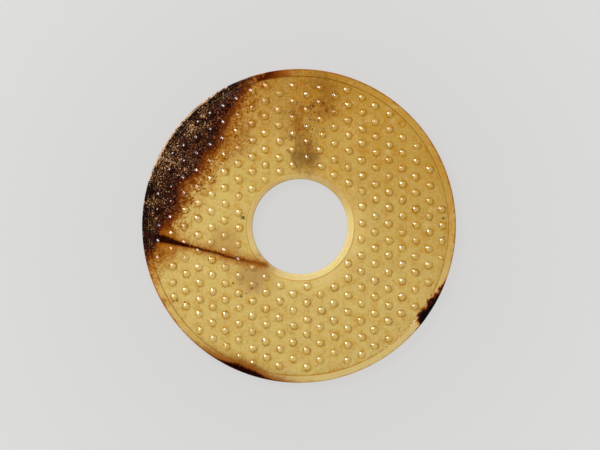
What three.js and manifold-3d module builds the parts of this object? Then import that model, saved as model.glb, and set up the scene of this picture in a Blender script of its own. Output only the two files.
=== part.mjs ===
// A bi: a flat ritual disc of nephrite jade with a round hole through its middle, lying on its back.
// Each face has a raised plain band along the rim and another round the hole. The field between them
// is ground down, and rows of small round grains stand up from it, as high as the bands.
// Millimetres, +Z up. The origin is at the middle of the underside.
import * as THREE from "three";
import { ConvexGeometry } from "three/addons/geometries/ConvexGeometry.js";
import { mergeVertices } from "three/addons/utils/BufferGeometryUtils.js";
import Module from "manifold-3d";

// The slab.
const discRadius = 70;
const thickness = 5; // over the bands
const rimBandWidth = 3.2;
const rimRound = 0.55; // the rounding of the rim's two corners
const fieldDepth = 0.6; // how far each field lies below its bands
const bandFoot = 0.3; // the sloping foot of a band, across the slope

// The hole, drilled a little off the middle of the slab, and the band round it.
const holeRadius = 21.3;
const holeOffsetX = 0.46;
const holeOffsetY = -0.33;
const holeBandWidth = 2.8;
const holeRound = 0.35;

// The grains: columns a step apart, with every other column half a step lower.
const grainRadius = 1.7;
const crownRadius = 0.85; // the flat on top of a grain
const crownBelowBand = 0.05;
const columnPitch = 6.13;
const rowPitch = 7.16; // from grain to grain down a column
const latticeX = 3.7; // the lattice's own middle, from the middle of the slab
const latticeY = 1.7;
const bandToGrain = 1.25; // a grain is left out if its middle is nearer to a band than this

// How far the hand-set grains drift off a true lattice at the rim.
const columnCrowding = 1.4; // outer columns draw in
const columnFan = 0.9; // columns spread towards +Y and close towards -Y
const rowTilt = 1.7; // rows run down towards +X
const rowTwist = 2.8; // and run down more steeply at the top and the bottom
const rowSag = 0.75; // the top and bottom rows sit low

// Worn and chipped places on the upper corner of the rim: where, how far in over the band, how far
// down the edge.
const chips = [
  { azimuth: 127, across: 0.9, down: 0.7 },
  { azimuth: 139, across: 1.3, down: 1.1 },
  { azimuth: 151, across: 1, down: 0.8 },
  { azimuth: 329, across: 0.6, down: 1.4 },
];

// How finely the round forms are cut.
const rimSides = 64;
const holeSides = 48;
const grainSides = 6; // round the foot of a grain
const crownSides = 3;
const underGrainSides = 5;
const overshoot = 1; // how far a cutting tool runs past the stone
const spareSteps = 2; // columns and rows past the rim that drift could bring in
const mergeWithin = 1e-4; // corners of a form nearer than this are one corner

const wasm = await Module();
wasm.setup();

const fieldTop = thickness - fieldDepth;
const grainHeight = fieldDepth - crownBelowBand;

// A closed three.js geometry as a solid.
function solid(geometry) {
  geometry.deleteAttribute("normal");
  geometry.deleteAttribute("uv");
  const merged = mergeVertices(geometry, mergeWithin);
  return new wasm.Manifold(
    new wasm.Mesh({
      numProp: 3,
      vertProperties: new Float32Array(merged.attributes.position.array),
      triVerts: new Uint32Array(merged.index.array),
    }),
  );
}

// A profile of [radius, height] pairs, from the bottom of the axis to its top, turned about +Z.
function turned(profile, sides) {
  const points = profile.map(([radius, height]) => new THREE.Vector2(radius, height));
  return new THREE.LatheGeometry(points, sides).rotateX(Math.PI / 2);
}

// The blank slab without its hole: a rounded rim, two bands along it, and the sunken fields.
function slab() {
  const bandInner = discRadius - rimBandWidth;
  return solid(
    turned(
      [
        [0, fieldDepth],
        [bandInner - bandFoot, fieldDepth],
        [bandInner, 0],
        [discRadius - rimRound, 0],
        [discRadius, rimRound],
        [discRadius, thickness - rimRound],
        [discRadius - rimRound, thickness],
        [bandInner, thickness],
        [bandInner - bandFoot, fieldTop],
        [0, fieldTop],
      ],
      rimSides,
    ),
  );
}

// The collar that makes the bands round the hole, still without the hole.
function collar() {
  const bandOuter = holeRadius + holeBandWidth;
  return solid(
    turned(
      [
        [0, 0],
        [bandOuter, 0],
        [bandOuter + bandFoot, fieldDepth],
        [bandOuter + bandFoot, fieldTop],
        [bandOuter, thickness],
        [0, thickness],
      ],
      holeSides,
    ).translate(holeOffsetX, holeOffsetY, 0),
  );
}

// What the drill takes out, with both mouths of the hole eased.
function drill() {
  const mouth = holeRadius + holeRound;
  return solid(
    turned(
      [
        [0, -overshoot],
        [mouth, -overshoot],
        [mouth, 0],
        [holeRadius, holeRound],
        [holeRadius, thickness - holeRound],
        [mouth, thickness],
        [mouth, thickness + overshoot],
        [0, thickness + overshoot],
      ],
      holeSides,
    ).translate(holeOffsetX, holeOffsetY, 0),
  );
}

// The middle of one grain, with the carver's drift. Column 0 runs through the lattice's middle.
function grainPlace(column, row) {
  const across = column * columnPitch;
  const up = (row + (column % 2 === 0 ? 0 : 0.5)) * rowPitch;
  const u = across / discRadius;
  const v = up / discRadius;
  return [
    latticeX + across + columnFan * u * v - columnCrowding * u ** 3,
    latticeY + up - rowTilt * u - rowTwist * u * v ** 2 - rowSag * v ** 2,
  ];
}

// Every grain of one face that has room between its two bands. Both faces were set out alike, so the
// underside's lattice is this one turned over, with side -1.
function grainPlaces(side) {
  const columns = Math.ceil(discRadius / columnPitch) + spareSteps;
  const rows = Math.ceil(discRadius / rowPitch) + spareSteps;
  const furthest = discRadius - rimBandWidth - bandToGrain;
  const nearest = holeRadius + holeBandWidth + bandToGrain;
  const places = [];
  for (let column = -columns; column <= columns; column++) {
    for (let row = -rows; row <= rows; row++) {
      const [across, y] = grainPlace(column, row);
      const x = across * side;
      const fromHole = Math.hypot(x - holeOffsetX, y - holeOffsetY);
      if (Math.hypot(x, y) <= furthest && fromHole >= nearest) places.push([x, y]);
    }
  }
  return places;
}

// Points round a level circle.
function ring(radius, height, sides) {
  return Array.from({ length: sides }, (_, i) => {
    const angle = (i * 2 * Math.PI) / sides;
    return new THREE.Vector3(radius * Math.cos(angle), radius * Math.sin(angle), height);
  });
}

// A grain on the upper face: a low round boss with a small flat crown, standing on the field.
function upperGrain([x, y]) {
  const foot = ring(grainRadius, 0, grainSides);
  const crown = ring(crownRadius, grainHeight, crownSides);
  return solid(new ConvexGeometry([...foot, ...crown]).translate(x, y, fieldTop));
}

// A grain on the underside, cut more plainly, as a low cone that points down.
function lowerGrain([x, y]) {
  const foot = ring(grainRadius, 0, underGrainSides);
  const tip = new THREE.Vector3(0, 0, -grainHeight);
  return solid(new ConvexGeometry([...foot, tip]).translate(x, y, fieldDepth));
}

// A block whose lower face slices the rim's upper corner off along one flat. It is longer than any chip.
function chipCutter({ azimuth, across, down }) {
  const slope = Math.atan2(down, across);
  const side = 2 * thickness;
  const block = new THREE.BoxGeometry(side, discRadius, side);
  block.translate(side / 2, 0, side / 2);
  block.rotateY(slope);
  block.translate(discRadius - across, 0, thickness);
  block.translate(-overshoot * Math.cos(slope), 0, overshoot * Math.sin(slope));
  return solid(block.rotateZ(THREE.MathUtils.degToRad(azimuth)));
}

// The finished stone as one closed geometry.
function carvedDisc() {
  const grains = [...grainPlaces(1).map(upperGrain), ...grainPlaces(-1).map(lowerGrain)];
  const tools = [drill(), ...chips.map(chipCutter)];
  const blank = grains.reduce((stone, grain) => stone.add(grain), slab().add(collar()));
  const carved = tools.reduce((stone, tool) => stone.subtract(tool), blank);
  const { numProp, numVert, vertProperties, triVerts } = carved.getMesh();
  const positions = new Float32Array(numVert * 3);
  for (let i = 0; i < numVert; i++) {
    positions.set(vertProperties.subarray(i * numProp, i * numProp + 3), i * 3);
  }
  const geometry = new THREE.BufferGeometry();
  geometry.setAttribute("position", new THREE.BufferAttribute(positions, 3));
  geometry.setIndex(new THREE.BufferAttribute(triVerts, 1));
  geometry.computeVertexNormals();
  return geometry;
}

const jade = new THREE.MeshStandardMaterial({ color: 0xc5a55a, roughness: 0.35, metalness: 0 });
const disc = new THREE.Mesh(carvedDisc(), jade);
disc.name = "jade_disc";

const group = new THREE.Group();
group.add(disc);

export default group;
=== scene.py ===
import math
import random
from collections import Counter
from functools import reduce

import bpy
from mathutils import Matrix, Vector, noise
from mathutils.geometry import delaunay_2d_cdt


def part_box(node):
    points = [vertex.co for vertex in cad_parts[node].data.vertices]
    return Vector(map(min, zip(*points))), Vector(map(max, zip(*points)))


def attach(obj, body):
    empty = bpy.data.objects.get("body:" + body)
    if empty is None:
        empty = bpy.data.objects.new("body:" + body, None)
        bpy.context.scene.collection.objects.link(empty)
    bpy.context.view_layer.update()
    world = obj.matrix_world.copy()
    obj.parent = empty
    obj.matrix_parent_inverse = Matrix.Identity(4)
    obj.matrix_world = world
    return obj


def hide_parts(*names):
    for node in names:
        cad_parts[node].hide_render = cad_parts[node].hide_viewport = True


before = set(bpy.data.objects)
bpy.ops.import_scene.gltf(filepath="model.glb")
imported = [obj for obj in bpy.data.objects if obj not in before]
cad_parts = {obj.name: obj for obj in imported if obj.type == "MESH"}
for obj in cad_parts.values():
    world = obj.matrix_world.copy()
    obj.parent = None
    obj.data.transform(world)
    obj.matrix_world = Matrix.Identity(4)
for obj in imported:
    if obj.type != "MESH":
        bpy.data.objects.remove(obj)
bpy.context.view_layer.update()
bpy.context.scene.view_settings.view_transform = "Standard"

# The slab: one piece of nephrite jade, sawn flat and ground round, with a hole drilled a little off
# its middle. Each face keeps a plain band along the rim and one round the hole, where the stone stood
# before the field between them was ground down. It is drawn in millimetres and brought to metres last.
METRE = 1000
lowest, highest = [[METRE * number for number in corner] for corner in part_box("jade_disc")]
disc_radius = (highest[0] - lowest[0]) / 2
thickness = highest[2] - lowest[2]
field_depth = 0.6
field_height = thickness - field_depth
rim_band = 3.2
hole_middle = Vector((0.46, -0.33))
hole_radius = 21.3
hole_band = 2.8
hole_band_middle = Vector((0.7, -0.53))
rim_segments = 600
hole_segments = 160


def turned_ring(name, middle, profile, segments):
    """A loop of edges drawn at the first (radius, height) and extruded to each next one."""
    bpy.ops.object.select_all(action="DESELECT")
    radius, height = profile[0]
    bpy.ops.mesh.primitive_circle_add(vertices=segments, radius=radius, location=(*middle, height))
    ring = bpy.context.object
    ring.name = name
    bpy.ops.object.transform_apply(location=True)
    bpy.ops.object.mode_set(mode="EDIT")
    bpy.ops.mesh.select_all(action="SELECT")
    for wider, higher in profile[1:]:
        bpy.ops.mesh.extrude_region_move(TRANSFORM_OT_translate={"value": (0, 0, higher - height)})
        share = wider / radius
        bpy.ops.transform.resize(value=(share, share, 1), center_override=(*middle, higher))
        radius, height = wider, higher
    bpy.ops.object.mode_set(mode="OBJECT")
    return ring


def both_faces(upper_half):
    """A profile from the upper field round the edge to the lower one, given its upper half."""
    lower_half = [(radius, thickness - height) for radius, height in reversed(upper_half)]
    return upper_half + lower_half


# Each band ends at the field in a shallow scored line and a short steep step. The hole's two mouths are
# eased, and its band was drawn about a middle of its own, so the band is wider on one side.
rim_step = disc_radius - rim_band
rim_foot = rim_step - 0.32
rim_profile = both_faces([
    (rim_foot, field_height),
    (rim_step - 0.16, field_height - 0.04),
    (rim_step, field_height + 0.2),
    (rim_step + 0.24, thickness),
    (disc_radius - 1.4, thickness),
    (disc_radius - 0.95, thickness),
    (disc_radius - 0.6, thickness),
    (disc_radius - 0.35, thickness),
    (disc_radius - 0.13, thickness - 0.05),
    (disc_radius - 0.03, thickness - 0.16),
    (disc_radius, thickness - 0.38),
    (disc_radius, thickness - 1.2),
])
hole_step = hole_radius + hole_band
hole_foot = hole_step + 0.3
hole_profile = both_faces([
    (hole_foot, field_height),
    (hole_step + 0.12, field_height),
    (hole_step - 0.06, field_height + 0.22),
    (hole_step - 0.36, thickness),
    (hole_radius + 0.3, thickness),
    (hole_radius, thickness - 0.3),
])
rim = turned_ring("rim", (0, 0), rim_profile, rim_segments)
hole = turned_ring("hole", hole_band_middle, hole_profile, hole_segments)
for corner in hole.data.vertices:
    if (corner.co.xy - hole_band_middle).length < hole_radius + 1:
        corner.co.xy += hole_middle - hole_band_middle

# The grains: small bosses of the slab's own stone left standing in the field, ringed with a reed drill
# and then rubbed into domes. They run in upright columns, every other one half a step lower, and drift
# as the hand did. Soil stays in the line round each foot and stains the skirt of ground beyond it.
column_step = 6.13
row_step = 7.16
lattice_middle = (3.7, 1.7)
column_crowding = 1.4
column_fan = 0.9
row_tilt = 1.7
row_twist = 2.8
row_sag = 0.75
grain_reach = 2.05
skirt_reach = 2.7
grain_profile = [
    (skirt_reach, 0),
    (1.8, -0.04),
    (1.62, 0.02),
    (1.35, 0.19),
    (0.95, 0.38),
    (0.45, 0.51),
]
grain_sides = 12
foot_line = (1.5, 1.9)
place_spread = 0.2
lean_spread = 0.12
least_reach = 1.2
room_to_ring = 0.6
room_to_raise = 1.25
ringed_height = 0.12
most_set_away = 0.55
skirt_gap = 0.03
hand = random.Random(41)

grain = turned_ring("grain", (0, 0), grain_profile, grain_sides)
bpy.ops.object.mode_set(mode="EDIT")
bpy.ops.mesh.edge_face_add()
bpy.ops.object.mode_set(mode="OBJECT")
soil_and_shade = grain.data.attributes.new("soil_and_shade", "FLOAT", "POINT")
for vertex, held in zip(grain.data.vertices, soil_and_shade.data):
    held.value = 1 if foot_line[0] < vertex.co.xy.length < foot_line[1] else 0


def grain_place(column, row):
    """The middle of one grain, with the hand's slow drift across the disc."""
    across = column * column_step
    up = (row + 0.5 * (column % 2)) * row_step
    u = across / disc_radius
    v = up / disc_radius
    x = lattice_middle[0] + across + column_fan * u * v - column_crowding * u**3
    y = lattice_middle[1] + up - row_tilt * u - row_twist * u * v**2 - row_sag * v**2
    return Vector((x, y))


def kept_off_bands(place):
    """This place, drawn in from the rim's band or out from the hole's if it lies over its foot."""
    if place.length > rim_foot - skirt_gap:
        return place.normalized() * (rim_foot - skirt_gap)
    from_hole = place - hole_band_middle
    if from_hole.length < hole_foot + skirt_gap:
        return hole_band_middle + from_hole.normalized() * (hole_foot + skirt_gap)
    return place


def set_grains(side):
    """Copies the grain over one face, side 1 the upper one and side -1 the lower."""
    copies = []
    level = field_height if side > 0 else field_depth
    for column in range(-14, 14):
        for row in range(-12, 13):
            place = grain_place(column, row)
            place.x *= side
            rim_room = rim_step - place.length
            from_hole = place - hole_band_middle
            hole_room = from_hole.length - hole_step
            room = min(rim_room, hole_room)
            place += Vector((hand.gauss(0, place_spread), hand.gauss(0, place_spread)))
            tall, broad, turned_by, flattened = [hand.random() for _ in range(4)]
            lean = [hand.gauss(0, lean_spread), hand.gauss(0, lean_spread)]
            if room < room_to_ring:
                continue
            # A grain that stands too near a band is set a little away from it, smaller and lower, and
            # one nearer still was only ringed with the drill and never raised.
            raised = 0.86 + 0.2 * tall if room > room_to_raise else ringed_height
            away = -place.normalized() if rim_room < hole_room else from_hole.normalized()
            place += away * min(max(grain_reach + 0.5 - room, 0), most_set_away)
            clear = min(rim_foot - place.length, (place - hole_band_middle).length - hole_foot)
            reach = min(grain_reach * (0.93 + 0.07 * broad), clear - 0.05)
            if reach < least_reach:
                continue
            size = reach / grain_reach
            turn = Matrix.Rotation(math.tau * turned_by, 4, "Z")
            height = raised * min(size + 0.1, 1)
            oval = Matrix.Diagonal((size, size * (1 - 0.16 * flattened), height, 1))
            leaning = Matrix.Identity(4)
            leaning[0][2], leaning[1][2] = lean
            flip = Matrix.Diagonal((1, 1, side, 1))
            put = Matrix.Translation((*place, level))
            copy = grain.copy()
            copy.data = grain.data.copy()
            bpy.context.collection.objects.link(copy)
            copy.data.transform(put @ flip @ leaning @ turn @ oval @ turn.inverted())
            for corner in copy.data.vertices:
                corner.co.xy = kept_off_bands(corner.co.xy)
            for held in copy.data.attributes["soil_and_shade"].data:
                held.value *= hand.uniform(0.65, 1)
            copies.append(copy)
    return copies


upper_grains = set_grains(1)
lower_grains = set_grains(-1)
bpy.data.objects.remove(grain)


# The ground of each field: the flat left between the bands and the feet of the grains, ground down with
# sand. It is one sheet of triangles set between their open edges, which closes the whole into one stone.
def open_edges(piece, height):
    """The piece's edges with a face on one side only, near this height, as pairs of its corners."""
    uses = Counter(key for face in piece.data.polygons for key in face.edge_keys)
    corners = piece.data.vertices
    edges = [[corners[i].co for i in key] for key, count in uses.items() if count == 1]
    return [edge for edge in edges if abs(edge[0].z - height) < 0.01]


def field_sheet(pieces, height):
    """A sheet that fills the field between the open edges of the rim, the hole and the grains."""
    corners, edges, owners = {}, [], []
    for owner, piece in enumerate(pieces):
        for edge in open_edges(piece, height):
            for corner in edge:
                if corner.xy[:] not in corners:
                    corners[corner.xy[:]] = len(corners)
                    owners.append(owner)
            edges.append([corners[corner.xy[:]] for corner in edge])
    places = [Vector(place) for place in corners]
    _, _, faces, origins, _, _ = delaunay_2d_cdt(places, edges, [], 0, 1e-5)
    faces = [[origins[corner][0] for corner in face] for face in faces]
    # Pieces come rim first. A triangle that joins three corners of the hole or of one grain is in it.
    faces = [face for face in faces if owners[face[0]] == 0 or len({owners[i] for i in face}) > 1]
    mesh = bpy.data.meshes.new("field")
    mesh.from_pydata([(*place, height) for place in places], [], faces)
    field = bpy.data.objects.new("field", mesh)
    bpy.context.collection.objects.link(field)
    return field


upper_field = field_sheet([rim, hole, *upper_grains], field_height)
lower_field = field_sheet([rim, hole, *lower_grains], field_depth)
bpy.ops.object.select_all(action="DESELECT")
for piece in [rim, hole, upper_field, lower_field, *upper_grains, *lower_grains]:
    piece.select_set(True)
bpy.context.view_layer.objects.active = rim
bpy.ops.object.join()
disc = bpy.context.object
disc.name = "bi_disc"
bpy.ops.object.mode_set(mode="EDIT")
bpy.ops.mesh.select_all(action="SELECT")
bpy.ops.mesh.remove_doubles(threshold=0.001)
bpy.ops.mesh.normals_make_consistent(inside=False)
bpy.ops.object.mode_set(mode="OBJECT")
bpy.ops.object.shade_smooth_by_angle(angle=math.radians(40))

# Soil also lies in the scored line at the foot of each band, less of it round the hole.
soil_at_rim = 0.86
soil_at_hole = 0.5
for corner, held in zip(disc.data.vertices, disc.data.attributes["soil_and_shade"].data):
    from_rim_line = corner.co.xy.length - (rim_step - 0.08)
    from_hole_line = (corner.co.xy - hole_band_middle).length - (hole_step + 0.12)
    if abs(from_rim_line) < 0.1:
        held.value = soil_at_rim
    if abs(from_hole_line) < 0.02:
        held.value = soil_at_hole

# The rim's upper corner is worn and chipped away in places, each a rough slope: where round the rim in
# degrees, how far in over the band and how far down the edge. A nick crosses the band near the third.
# The attribute marks the broken stone.
chips = [(127, 0.9, 0.7), (139, 1.3, 1.1), (151, 1, 0.8), (329, 0.6, 1.4)]
nick = Vector((-62.7, 30.7))
nick_depth = 0.45
broken = disc.data.attributes.new("broken", "FLOAT", "POINT")
for corner, mark in zip(disc.data.vertices, broken.data):
    place = corner.co
    if place.z < thickness / 2 or place.xy.length < rim_step + 0.5:
        continue
    rough = noise.noise(place * 0.8) * 0.16 + noise.noise(place * 2.5) * 0.06
    surface = thickness - max(0, nick_depth - 0.4 * (place.xy - nick).length)
    for azimuth, across, down in chips:
        outward = place.x * math.cos(math.radians(azimuth)) + place.y * math.sin(math.radians(azimuth))
        beyond = outward - (disc_radius - across)
        surface = min(surface, thickness - (beyond + rough) * down / across)
    if surface < place.z:
        mark.value = min((place.z - surface) / 0.15, 1)
        place.z = surface
disc.data.transform(Matrix.Scale(1 / METRE, 4))

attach(disc, "root")
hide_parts("jade_disc")

# The stone's colour: honey-brown nephrite, waxy and a little translucent. Long burial has turned one
# side of it, cut off along a nearly straight line, to a dark pitted crust, and has stained the rim, a
# crack that runs in to the hole and a smoky cloud above it. The stains go right through the slab.


def colour(red, green, blue):
    """A colour as a screen shows it, 0 to 255, as the numbers that a shader takes."""
    shares = [share / 255 for share in (red, green, blue)]
    return (*[s / 12.92 if s <= 0.04045 else ((s + 0.055) / 1.055) ** 2.4 for s in shares], 1)


class Wire:
    """An output in a node tree. Sums and products of wires add their Math nodes."""

    def __init__(self, tree, socket=None):
        self.tree = tree
        self.socket = socket

    def node(self, kind, settings, sockets, output=0):
        """A new node of this kind with these settings and sockets, as a wire from one output if any."""
        made = self.tree.nodes.new(kind)
        for name, value in settings.items():
            setattr(made, name, value)
        for name, value in sockets.items():
            if isinstance(value, Wire):
                self.tree.links.new(value.socket, made.inputs[name])
            else:
                made.inputs[name].default_value = value
        return Wire(self.tree, made.outputs[output]) if made.outputs else None

    def math(self, operation, *values):
        return self.node("ShaderNodeMath", {"operation": operation}, dict(enumerate(values)))

    def __add__(self, other):
        return self.math("ADD", self, other)

    def __sub__(self, other):
        return self.math("SUBTRACT", self, other)

    def __mul__(self, other):
        return self.math("MULTIPLY", self, other)

    def __pow__(self, power):
        return self.math("POWER", self, power)

    def __rsub__(self, other):
        return self.math("SUBTRACT", other, self)

    def __abs__(self):
        return self.math("ABSOLUTE", self)

    __radd__ = __add__
    __rmul__ = __mul__

    def rise(self, low, high):
        """A soft step from 0 at low to 1 at high, or down from 1 where low is the greater."""
        sockets = {"Value": self, "From Min": low, "From Max": high}
        return self.node("ShaderNodeMapRange", {"interpolation_type": "SMOOTHSTEP"}, sockets)

    def least(self, other):
        return self.math("MINIMUM", self, other)

    def most(self, other):
        return self.math("MAXIMUM", self, other)

    def under(self, paint, mask):
        """This colour with another laid over it where the mask is 1."""
        sockets = {0: mask, 6: self, 7: paint}
        return self.node("ShaderNodeMix", {"data_type": "RGBA"}, sockets, 2)


jade = bpy.data.materials.new("jade")
jade.use_nodes = True
jade.node_tree.nodes.clear()
stone = Wire(jade.node_tree)
metres = stone.node("ShaderNodeTexCoord", {}, {}, "Object")
point = stone.node("ShaderNodeVectorMath", {"operation": "SCALE"}, {0: metres, "Scale": METRE})
x, y, z = [stone.node("ShaderNodeSeparateXYZ", {}, {0: point}, axis) for axis in "XYZ"]


def cloud(size, seed, detail=3, roughness=0.5):
    """Noise, mostly from -0.4 to 0.4, in blotches of this size in millimetres."""
    sockets = {"Vector": point, "W": seed, "Scale": 1 / size, "Detail": detail, "Roughness": roughness}
    return (stone.node("ShaderNodeTexNoise", {"noise_dimensions": "4D"}, sockets) - 0.5) * 2


def towards(degrees):
    """How far a point lies from the disc's middle in one direction."""
    angle = math.radians(degrees)
    return x * math.cos(angle) + y * math.sin(angle)


def distance_to(middle):
    """How far a point lies from an upright line through the slab."""
    return ((x - middle[0]) ** 2 + (y - middle[1]) ** 2) ** 0.5


def blot(middle, reach, raggedness, ragged):
    """A soft-edged round stain."""
    return (distance_to(middle) + ragged * raggedness).rise(reach, reach * 0.3)


from_middle = distance_to((0, 0))
from_hole = distance_to(hole_band_middle)
drift = cloud(22, 1, 2)
clouds = cloud(7, 4, 2)
blotches = cloud(2.8, 2, 3, 0.6)
flecks = cloud(0.9, 3, 2, 0.65)
specks = cloud(0.85, 7, 1)
dust = cloud(0.45, 6, 1)

# The clean stone: paler to the left and at the bottom, browner towards the upper right, and mottled.
honey = stone.node("ShaderNodeRGB", {}, {})
honey.socket.default_value = colour(213, 188, 113)
upper_right = (towards(58) + drift * 30).rise(-22, 84)
body = honey.under(colour(190, 148, 58), upper_right)
body = body.under(colour(230, 208, 138), (drift * 0.6 - blotches * 0.5 + clouds).rise(0.1, 0.5) * 0.35)
mottled = (blotches * 0.7 + clouds + flecks * 0.5).rise(0, 0.45) * (0.25 + upper_right * 0.35)
body = body.under(colour(184, 122, 18), mottled)
body = body.under(colour(196, 142, 34), (blotches - clouds * 0.6 + specks * 0.3).rise(0, 0.4) * 0.45)
body = body.under(colour(190, 138, 28), flecks.rise(0, 0.35) * 0.25)
body = body.under(colour(232, 212, 148), dust.rise(0.05, 0.4) * 0.3)
body = body.under(colour(170, 118, 20), dust.rise(-0.05, -0.4) * 0.25)

# The stone round the hole is painted paler, most of all at the lower right: a painted glow of light let
# through the stone.
painted_glow = from_hole.rise(hole_step + 9, hole_step) * towards(-42).rise(0, 24) * 0.45
body = body.under(colour(240, 216, 144), painted_glow)
on_hole_band = from_hole.rise(hole_step + 0.2, hole_step - 0.3)
outside_line = from_hole.rise(hole_step - 0.5, hole_step - 0.1)
hole_line = from_hole.rise(hole_step + 0.4, hole_step + 0.1) * outside_line
body = body.under(colour(220, 198, 142), on_hole_band * (0.6 - upper_right * 0.7).most(0))
body = body.under(colour(182, 152, 92), on_hole_band * towards(105).rise(-6, 12) * 0.35)
# Painted light: the step of the hole's band is painted pale orange at the lower right, where it faces
# away from the soft box, to lift its shade.
body = body.under(colour(255, 206, 100), hole_line * towards(-42).rise(-10, 16) * 0.8)
# Painted shade: the same step is painted brown at the left, where it faces the soft box, to dim it.
body = body.under(colour(190, 146, 66), hole_line * towards(148).rise(0, 20) * 0.5)
# Painted glow, stronger on the hole's band.
body = body.under(colour(244, 224, 156), on_hole_band * painted_glow * 1.5)

# The rim's band is a little duller, but paler at the lower right. The edge is stained orange-brown.
on_band = from_middle.rise(rim_step - 0.2, rim_step + 0.4)
lower_right = towards(-68).rise(26, 62)
body = body.under(colour(202, 166, 90), on_band * 0.35 * (1 - upper_right))
body = body.under(colour(218, 198, 136), on_band * lower_right * 0.7)
stained_edge = (from_middle + flecks + blotches * 0.5).rise(disc_radius - 0.9, disc_radius - 0.2)
body = body.under(colour(164, 94, 14), stained_edge * (0.8 - lower_right * 0.5))

# The crowns of the grains are paler. Amber-coloured soil stains the ground round their feet and the
# scored lines, with a darker line in places, more of it towards the upper right.
stands = abs(z - thickness / 2) - (thickness / 2 - field_depth)
domed = stands.rise(0.08, 0.25) * (1 - on_band) * (1 - on_hole_band)
body = body.under(colour(212, 190, 124), domed * stands.rise(0.2, 0.5) * 0.4)
inside_line = from_middle.rise(rim_step + 0.5, rim_step + 0.2)
rim_line = from_middle.rise(rim_step - 0.1, rim_step + 0.1) * inside_line
# Painted shade, partly soil: the rim's step is painted brown, most of all at the lower right, where it
# faces the soft box.
body = body.under(colour(176, 130, 50), rim_line * (0.6 + lower_right * 0.3))
ringed = stone.node("ShaderNodeAttribute", {"attribute_name": "soil_and_shade"}, {}, "Fac")
amber = ringed.rise(0, 0.6) * (0.4 + blotches * 0.5 + upper_right * 0.15)
body = body.under(colour(198, 142, 10), amber)
dark_line = ringed.rise(0.68, 0.95) * (clouds + blotches + flecks + upper_right * 0.4).rise(-0.45, 0.2)
body = body.under(colour(128, 70, 4), dark_line * 0.9)

# Smoke-coloured clouds above the hole, up to the rim, with dark and orange flecks in them.
smoke = (towards(100) + blotches * 14).rise(36, 66) * (x + blotches * 14).rise(44, 8) * 0.4
body = body.under(colour(160, 104, 18), smoke)
body = body.under(colour(142, 90, 14), blot((11.3, 61), 9, 14, blotches + flecks * 0.8) * 0.55)
body = body.under(colour(160, 96, 12), blot((11, 52.5), 8, 12, blotches + flecks * 0.8) * 0.5)
sooty = blot((3, 46.5), 14, 14, blotches)
body = body.under(colour(158, 94, 10), sooty * (flecks + clouds).rise(-0.25, 0.25) * 0.8)
body = body.under(colour(154, 94, 12), smoke * specks.rise(0, 0.3) * 1.2)
soot = (flecks + blotches * 0.5 + specks * 0.4).rise(-0.08, -0.34)
body = body.under(colour(84, 54, 22), sooty * soot * 0.8)
body = body.under(colour(130, 86, 24), blot((3.2, 30), 9, 8, blotches + flecks * 0.5) * 0.75)
body = body.under(colour(138, 92, 28), blot((2.5, 37), 7, 7, blotches + flecks * 0.5) * 0.5)

# Soil in small pits, most of them below the crack: where, and how big.
pits = [
    (-29.3, -25.5, 0.45), (-25.5, -25.5, 0.4), (-21.2, -27.9, 0.75), (-18.4, -25.8, 0.45),
    (-23.6, -30, 0.4), (-25.7, -31.4, 0.4), (-23.6, -19.7, 0.6), (-54.3, -33.5, 0.45),
    (-56.2, -33.8, 0.35), (-51, -34, 0.4), (-25, 3.7, 0.9), (64.4, 3.4, 0.5), (64.8, -4.9, 0.35),
]
nearest_pit = reduce(Wire.least, [distance_to(middle) * (1 / size) for *middle, size in pits])
body = body.under(colour(62, 46, 30), (nearest_pit + flecks * 1.6).rise(1.3, 0.6) * 0.85)

# Dark stains on the edge: along the bottom, at the lower right, where it is black, and a brown spot.
bottom = towards(248.5) + distance_to((-24, -64)).rise(14, 2) * 1.4 + flecks * 0.8 + blotches * 0.8
body = body.under(colour(160, 108, 28), (bottom + clouds * 3).rise(60, 68) * 0.5)
body = body.under(colour(148, 82, 6), bottom.rise(64.5, 67.6) * 0.8)
body = body.under(colour(96, 34, 4), (bottom + stained_edge * 0.6).rise(67.8, 69))
body = body.under(colour(34, 8, 1), bottom.rise(68.6, 69.6))
right = (towards(-40.5) - 66.1).least(x - 52.9) + clouds * 2 + blotches * 2.6 + flecks
body = body.under(colour(150, 76, 10), right.rise(-0.9, -0.1))
blackened = right.rise(-0.1, 0.3)
body = body.under(colour(66, 18, 4), blackened)
body = body.under(colour(16, 5, 2), (right + flecks + specks).rise(0.5, 1.6))
body = body.under(colour(164, 98, 16), blot((-60.3, -34.3), 3.2, 5, flecks + blotches) * 0.8)

# The crust along the upper left, with a scorched margin, a smooth red-brown zone inside it and a
# crumbling surface of tan and black specks outside. It runs on along the band at both ends.
bulge = distance_to((-37, 37)).rise(9, 0) * 1.8
bite = distance_to((-53, 18)).rise(9, 0) * 2.8
inward = towards(150.3)
tail = distance_to((-68, -5)).rise(9, 0) * 3.6
depth = inward - 52 + bulge + tail - bite + blotches * 3.6 + clouds * 1.6 + flecks * 1.6
freckled = blot((-29, 39), 12, 10, blotches)
body = body.under(colour(156, 92, 14), freckled * (flecks + clouds * 0.5).rise(-0.3, 0.2) * 0.8)
body = body.under(colour(70, 40, 14), freckled * flecks.rise(-0.22, -0.36) * 0.85)
body = body.under(colour(170, 102, 12), blot((-61, -10), 11, 9, blotches) * (0.75 + specks * 0.6))
haze = (depth + drift * 4).rise(-14, -2)
body = body.under(colour(176, 110, 16), haze * (0.72 + specks * 1.6 + blotches))
haze_flecks = (flecks + specks * 0.5 + blotches * 0.4).rise(0.07, 0.28)
body = body.under(colour(114, 50, 4), haze * haze_flecks * 0.9)
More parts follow.
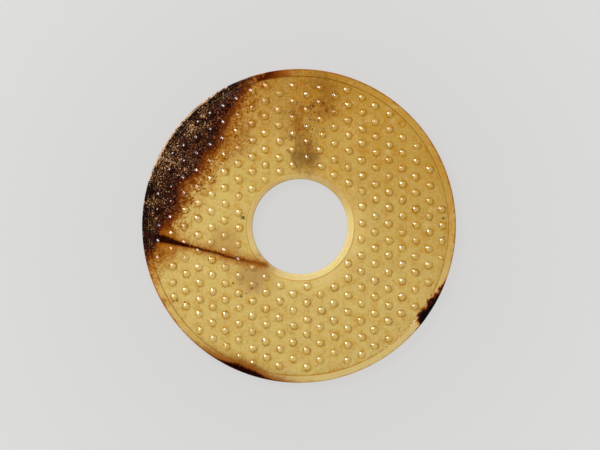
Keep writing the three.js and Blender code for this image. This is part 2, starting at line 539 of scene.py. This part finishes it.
# Partly soil, partly painted shade: the ground round the grains in the haze is painted darker red-brown.
body = body.under(colour(112, 48, 3), haze * ringed.rise(0.3, 0.9) * 0.6)
top_band = on_band * y.rise(0, 20)
low_band = on_band * y.rise(0, -10)
body = body.under(colour(156, 74, 4), top_band * (inward + clouds * 6).rise(33, 42) * 0.9)
body = body.under(colour(80, 20, 2), top_band * (inward + clouds * 6).rise(38, 48))
body = body.under(colour(184, 108, 10), low_band * (inward + clouds * 9).rise(38, 52) * 0.6)
body = body.under(colour(74, 26, 4), low_band * (inward + clouds * 6).rise(52, 56))
margin = (depth + specks * 2.4 + blotches * 2).rise(-5.8, -1.4)
body = body.under(colour(136, 68, 6), margin)
pale_flecks = (flecks + clouds * 0.5 - specks * 0.4).rise(0.1, 0.3)
body = body.under(colour(196, 146, 66), margin * pale_flecks * 0.8)
body = body.under(colour(84, 32, 4), margin * (flecks + specks * 0.4).rise(-0.1, -0.3) * 0.85)
body = body.under(colour(94, 32, 3), (depth + specks * 2.4 + flecks * 1.6).rise(-2.6, 0.2) * 0.85)
burnt = (depth + specks * 1.5).rise(-0.4, 1.6)
body = body.under(colour(50, 14, 4), burnt)
tan_flecks = (specks + flecks * 0.6 + blotches * 0.4).rise(0.1, 0.3)
body = body.under(colour(144, 84, 34), burnt * tan_flecks * 0.85)
body = body.under(colour(106, 32, 8), domed * depth.rise(-3, 0) * 0.7)
body = body.under(colour(30, 7, 2), domed * depth.rise(1, 4.5) * 0.85)
smooth = distance_to((-43, 35)).rise(11, 4)
crust = (depth + drift * 6).rise(1, 4) * (1 - smooth * 0.85) * (1 - domed * 0.8)
grit = cloud(0.62, 5, 1)
patchy = clouds * 0.35 + blotches * 0.25
scabs = grit + patchy - on_band * 0.1 - depth.rise(11, 3) * 0.1
body = body.under(colour(52, 18, 5), crust * 0.9)
body = body.under(colour(30, 11, 4), crust * on_band * 0.9)
body = body.under(colour(98, 57, 25), crust * scabs.rise(0, 0.06))
body = body.under(colour(192, 152, 108), crust * scabs.rise(0.18, 0.26))
body = body.under(colour(3, 1, 0), crust * (grit + patchy * 0.3 - on_band * 0.08).rise(-0.06, -0.13))
body = body.under(colour(150, 116, 78), crust * rim_line * (grit + clouds).rise(-0.3, 0.05) * 0.9)
# Painted shadow, partly soil: the ground round the grains in the crust is painted black.
body = body.under(colour(8, 3, 2), burnt * ringed.rise(0.2, 0.9) * 0.85)

# A crack runs in from the left edge to the hole, stained dark along its length. The stone beside it has
# gone a greyish brown on the way to the hole.
body = body.under(colour(178, 136, 82), blot((-20, -21.5), 12, 10, blotches) * 0.65)
body = body.under(colour(180, 136, 72), blot((-33, -8), 10, 10, blotches) * 0.55)
along = towards(-14.93)
bow = ((along + 34).most(0) * (1 / 25)) ** 2 * 0.7
off_crack = abs(towards(75.07) + 21.3 - bow + clouds * 0.9 + flecks * 0.5)
cracked = along.rise(-7, -10.5)
wide = along.rise(-40, -61) * 1.4
spread = off_crack - wide
stained = cracked * (1 - burnt)
body = body.under(colour(172, 106, 12), (spread + blotches * 3).rise(5, 0) * stained * (0.75 + specks))
body = body.under(colour(142, 76, 6), (spread + flecks * 1.2).rise(1.6, 0.1) * stained * 0.9)
red_line = (spread + flecks * 0.5).rise(0.75, 0.1) * along.rise(-13, -28)
body = body.under(colour(92, 34, 3), red_line * (1 - burnt))
body = body.under(colour(44, 12, 3), (spread + flecks * 0.4).rise(0.3, -0.2) * along.rise(-26, -46))

# Broken stone on the rim is dull and pinkish tan where the crust has gone, as is a vein beside the nick.
fresh = stone.node("ShaderNodeAttribute", {"attribute_name": "broken"}, {}, "Fac")
outermost = (from_middle + flecks * 2).rise(disc_radius - 1.1, disc_radius - 0.6)
rough_stone = fresh * outermost * depth.rise(0, 4) * (grit + flecks * 0.5).rise(-0.12, 0.02)
body = body.under(colour(206, 166, 132), rough_stone)
near_top = z.rise(thickness - 0.9, thickness - 0.3)
corner_worn = from_middle.rise(disc_radius - 0.9, disc_radius - 0.2) * near_top
bare = distance_to((-58, 40)).rise(24, 10) * 0.5 + grit + blotches + clouds
body = body.under(colour(224, 180, 142), corner_worn * depth.rise(0, 4) * bare.rise(0.1, 0.4) * 0.9)
vein = abs(towards(67) - 4.1 + flecks * 1.2).rise(0.6, 0.1) * towards(157).rise(59, 62) * (0.7 + grit)
body = body.under(colour(164, 130, 100), vein)

relief = stone.node("ShaderNodeBump", {}, {
    "Strength": 0.5,
    "Distance": 0.0002,
    "Height": blotches * 0.2 + crust * grit,
})
waxy = stone.node("ShaderNodeBsdfPrincipled", {"subsurface_method": "RANDOM_WALK"}, {
    "Base Color": body,
    "Roughness": 0.12 + fresh * 0.3 + burnt * 0.07 + flecks * 0.04,
    "IOR": 1.61,
    "Specular IOR Level": 0.9,
    "Normal": relief,
    "Subsurface Weight": 0.75,
    "Subsurface Radius": (1, 0.55, 0.2),
    "Subsurface Scale": 0.0016,
})
earthy = stone.node("ShaderNodeBsdfPrincipled", {}, {
    "Base Color": body,
    "Roughness": 0.6,
    "IOR": 1.4,
    "Specular IOR Level": 0.1,
    "Normal": relief,
})
dull = (crust + blackened).most(burnt * domed * 0.2)
finish = stone.node("ShaderNodeMixShader", {}, {0: dull, 1: waxy, 2: earthy})
stone.node("ShaderNodeOutputMaterial", {}, {"Surface": finish})
disc.data.materials.clear()
disc.data.materials.append(jade)

# The studio: a pale table that glows, so that hardly a shadow shows on it, and is seen from above only.
# A soft box hangs at the upper left, and dim light comes from all round. The camera looks straight down
# through a long lens.
tabletop = bpy.data.materials.new("tabletop")
tabletop.use_nodes = True
tabletop.node_tree.nodes.clear()
table = Wire(tabletop.node_tree)
spot = table.node("ShaderNodeTexCoord", {}, {}, "Object")
from_centre = table.node("ShaderNodeVectorMath", {"operation": "LENGTH"}, {0: spot}, "Value")
paint = table.node("ShaderNodeRGB", {}, {})
# Painted falloff of light: the table's glow is a little dimmer towards the middle, where the disc lies.
paint.socket.default_value = colour(205, 204, 202)
paler = paint.under(colour(213, 213, 212), from_centre.rise(0.03, 0.2))
glow = table.node("ShaderNodeEmission", {}, {"Color": paler})
paper = table.node("ShaderNodeBsdfDiffuse", {}, {"Color": (0.05, 0.05, 0.05, 1)})
lit = table.node("ShaderNodeAddShader", {}, {0: glow, 1: paper})
clear = table.node("ShaderNodeBsdfTransparent", {}, {})
beneath = table.node("ShaderNodeNewGeometry", {}, {}, "Backfacing")
one_sided = table.node("ShaderNodeMixShader", {}, {0: beneath, 1: lit, 2: clear})
table.node("ShaderNodeOutputMaterial", {}, {"Surface": one_sided})
bpy.ops.object.select_all(action="DESELECT")
bpy.ops.mesh.primitive_plane_add(size=6)
floor = bpy.context.object
floor.name = "tabletop"
floor.data.materials.append(tabletop)
floor.visible_glossy = False

world = bpy.data.worlds.new("room")
world.use_nodes = True
world.node_tree.nodes.clear()
room = Wire(world.node_tree)
air = room.node("ShaderNodeBackground", {}, {"Color": (1, 1, 1, 1), "Strength": 0.62})
room.node("ShaderNodeOutputWorld", {}, {"Surface": air})
world.cycles_visibility.glossy = False
bpy.context.scene.world = world

lamp_distance = 0.9
lamp_azimuth = math.radians(137)
lamp_elevation = math.radians(48)
lamp = bpy.data.lights.new("soft_box", "AREA")
lamp.shape = "DISK"
lamp.size = 0.37
lamp.energy = 5.6
soft_box = bpy.data.objects.new("soft_box", lamp)
bpy.context.collection.objects.link(soft_box)
soft_box.location = lamp_distance * Vector((
    math.cos(lamp_azimuth) * math.cos(lamp_elevation),
    math.sin(lamp_azimuth) * math.cos(lamp_elevation),
    math.sin(lamp_elevation),
))
soft_box.rotation_euler = soft_box.location.to_track_quat("Z", "Y").to_euler()

view_height = 1.5
picture_width = 600
radius_in_pixels = 156.96
pixel = disc_radius / radius_in_pixels / METRE
aim_in_pixels = (1, 0.9)
camera_data = bpy.data.cameras.new("camera")
camera_data.sensor_width = 36
camera_data.lens = camera_data.sensor_width * (view_height - thickness / METRE) / (picture_width * pixel)
camera = bpy.data.objects.new("camera", camera_data)
bpy.context.collection.objects.link(camera)
camera.location = (aim_in_pixels[0] * pixel, aim_in_pixels[1] * pixel, view_height)
bpy.context.scene.camera = camera
